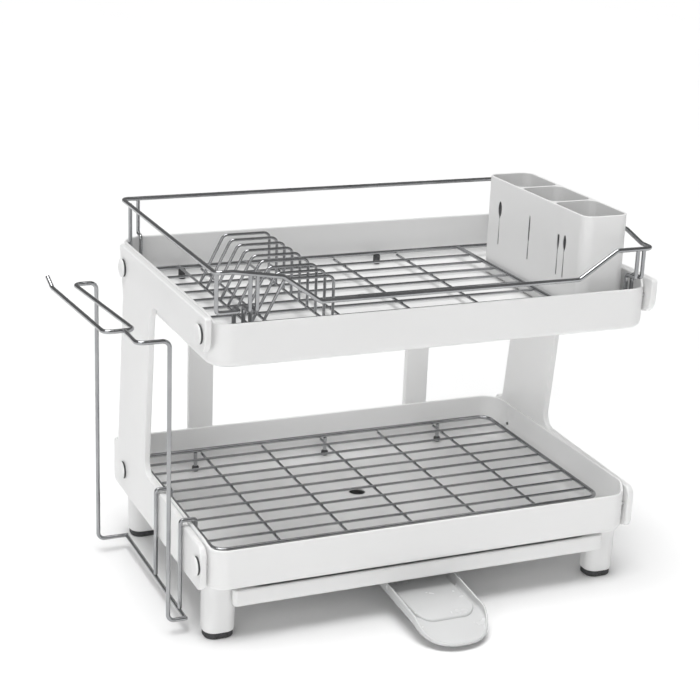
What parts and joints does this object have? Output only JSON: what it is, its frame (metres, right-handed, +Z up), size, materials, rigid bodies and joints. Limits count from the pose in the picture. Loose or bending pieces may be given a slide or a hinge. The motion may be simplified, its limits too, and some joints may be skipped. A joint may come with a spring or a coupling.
{
  "type": "dish drying rack",
  "caption": "Two-tier dish drying rack: white trays between C-shaped side frames, wire racks with plate dividers, utensil holder, board holder, drip tray and swivel spout",
  "frame": {"origin": "middle of the object's outer box, on the table that the feet stand on", "axes": "+X to the right seen from the front, +Y to the back, +Z up"},
  "size_m": [0.583, 0.4094, 0.4054],
  "materials": {
    "white_plastic": "moulded white plastic with a soft gloss",
    "chrome_wire": "polished chrome-plated steel wire",
    "rubber": "dark grey soft rubber",
    "spout_plastic": "slightly translucent white plastic",
    "screw_steel": "zinc-plated pan-head screws"
  },
  "bodies": {
    "frame": {"side_frame_left": "white_plastic", "side_frame_right": "white_plastic", "upper_tray": "white_plastic", "lower_tray": "white_plastic", "rear_upright_left": "white_plastic", "rear_upright_right": "white_plastic", "upright_screws": "screw_steel", "side_screws_left": "screw_steel", "side_screws_right": "screw_steel", "cap_seats_left": "rubber", "screw_caps_left": "white_plastic", "foot_front_left": "white_plastic", "foot_front_right": "white_plastic", "foot_rear_left": "white_plastic", "foot_rear_right": "white_plastic", "foot_pad_front_left": "rubber", "foot_pad_front_right": "rubber", "foot_pad_rear_left": "rubber", "foot_pad_rear_right": "rubber", "drip_rail_left": "white_plastic", "drip_rail_right": "white_plastic"},
    "drip_tray": {"drip_tray": "white_plastic"},
    "spout": {"drain_spout": "spout_plastic"},
    "upper_rack": {"upper_rail": "chrome_wire", "upper_rail_posts": "chrome_wire", "upper_rack_frame": "chrome_wire", "upper_rack_wires": "chrome_wire", "upper_rack_stringers": "chrome_wire", "plate_dividers": "chrome_wire", "upper_rack_feet": "rubber"},
    "lower_rack": {"lower_rack_frame": "chrome_wire", "lower_rack_wires": "chrome_wire", "lower_rack_stringers": "chrome_wire", "lower_rack_legs": "chrome_wire", "lower_rack_feet": "rubber"},
    "utensil_holder": {"utensil_holder": "white_plastic"},
    "board_holder": {"board_holder_front": "chrome_wire", "board_holder_rear": "chrome_wire", "board_holder_hooks": "chrome_wire", "board_holder_base": "chrome_wire", "board_holder_tips": "rubber"}
  },
  "joints": [
    {"name": "drip_tray_slide", "type": "slide", "parent": "frame", "child": "drip_tray", "axis": [0, -1, 0], "range_m": [0, 0.25]},
    {"name": "spout_swivel", "type": "hinge", "parent": "drip_tray", "child": "spout", "pos_m": [0.0445, -0.0717, 0.034], "axis": [0, 0, 1], "range_deg": [-90, 90]},
    {"name": "upper_rack_lift", "type": "slide", "parent": "frame", "child": "upper_rack", "axis": [0, 0, 1], "range_m": [0, 0.15]},
    {"name": "lower_rack_lift", "type": "slide", "parent": "frame", "child": "lower_rack", "axis": [0, 0, 1], "range_m": [0, 0.12]},
    {"name": "utensil_holder_lift", "type": "slide", "parent": "frame", "child": "utensil_holder", "axis": [0, 0, 1], "range_m": [0, 0.15]},
    {"name": "board_holder_lift", "type": "slide", "parent": "frame", "child": "board_holder", "axis": [0, 0, 1], "range_m": [0, 0.1]}
  ]
}
